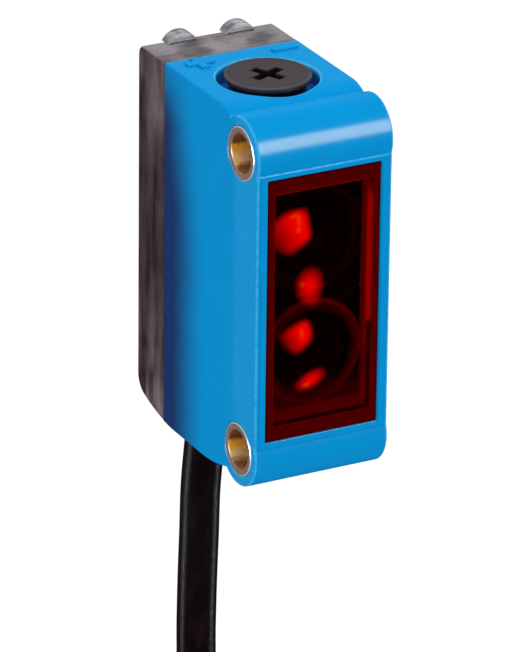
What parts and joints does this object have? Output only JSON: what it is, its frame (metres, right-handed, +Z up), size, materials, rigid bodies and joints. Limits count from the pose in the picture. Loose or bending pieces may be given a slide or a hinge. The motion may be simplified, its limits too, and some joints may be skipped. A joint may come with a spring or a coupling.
{
  "type": "photoelectric sensor",
  "caption": "Miniature rectangular photoelectric sensor with a red front window, top adjuster knob, threaded side bores, indicator lights and a coiled cable.",
  "frame": {"origin": "on the +X side face of the housing, midway between the axes of the two threaded inserts: the face that lies against a bracket", "axes": "+Z up along the housing, -Y the way the optics look, X across the width"},
  "size_m": [0.0184, 0.0589, 0.1263],
  "materials": {
    "blue_plastic": "satin moulded blue plastic",
    "smoked_plastic": "smoked translucent moulded plastic",
    "light_guide": "clear moulded plastic, slightly grey",
    "red_window": "deep red transparent acrylic, polished",
    "clear_lens": "clear moulded acrylic, polished",
    "black_plastic": "matt black moulded plastic",
    "knob_plastic": "matt dark grey-brown moulded plastic",
    "brass": "turned brass, dull on the end faces",
    "rubber": "black moulded rubber",
    "circuit_board": "green solder mask on glass-fibre laminate",
    "tinned_steel": "tinned sheet steel",
    "ceramic": "tan ceramic",
    "white_plastic": "white moulded plastic",
    "cable_jacket": "satin black PVC",
    "wire_brown": "brown PVC insulation",
    "wire_white": "white PVC insulation",
    "wire_blue": "blue PVC insulation",
    "wire_black": "black PVC insulation"
  },
  "bodies": {
    "sensor_body": {"housing": "blue_plastic", "rear_cover": "smoked_plastic", "left_light_guide": "light_guide", "right_light_guide": "light_guide", "lower_threaded_insert": "brass", "upper_threaded_insert": "brass", "front_window": "red_window", "emitter_lens": "clear_lens", "receiver_lens": "clear_lens", "optics_carrier": "black_plastic", "main_board": "circuit_board", "emitter_led": "white_plastic", "receiver_photodiode": "black_plastic", "receiver_shield": "tinned_steel", "signal_processor": "black_plastic", "voltage_regulator": "black_plastic", "output_transistor": "black_plastic", "supply_capacitor": "ceramic", "timing_capacitor": "ceramic", "power_indicator_led": "white_plastic", "switching_indicator_led": "white_plastic", "potentiometer_body": "white_plastic", "cable_gland": "rubber", "cable_jacket_end": "cable_jacket", "cable_crimp": "tinned_steel", "inner_wire_brown": "wire_brown", "inner_wire_white": "wire_white", "inner_wire_blue": "wire_blue", "inner_wire_black": "wire_black", "cable": "cable_jacket", "cable_coil": "cable_jacket", "coil_tie": "black_plastic", "free_wire_brown": "wire_brown", "free_wire_white": "wire_white", "free_wire_blue": "wire_blue", "free_wire_black": "wire_black"},
    "adjuster": {"adjuster_knob": "knob_plastic", "potentiometer_rotor": "black_plastic", "knob_seal_ring": "rubber"}
  },
  "joints": [
    {"name": "adjuster_turn", "type": "hinge", "parent": "sensor_body", "child": "adjuster", "pos_m": [-0.006, 0.00692, 0.01575], "axis": [0, 0, 1], "range_deg": [-135, 135]}
  ]
}
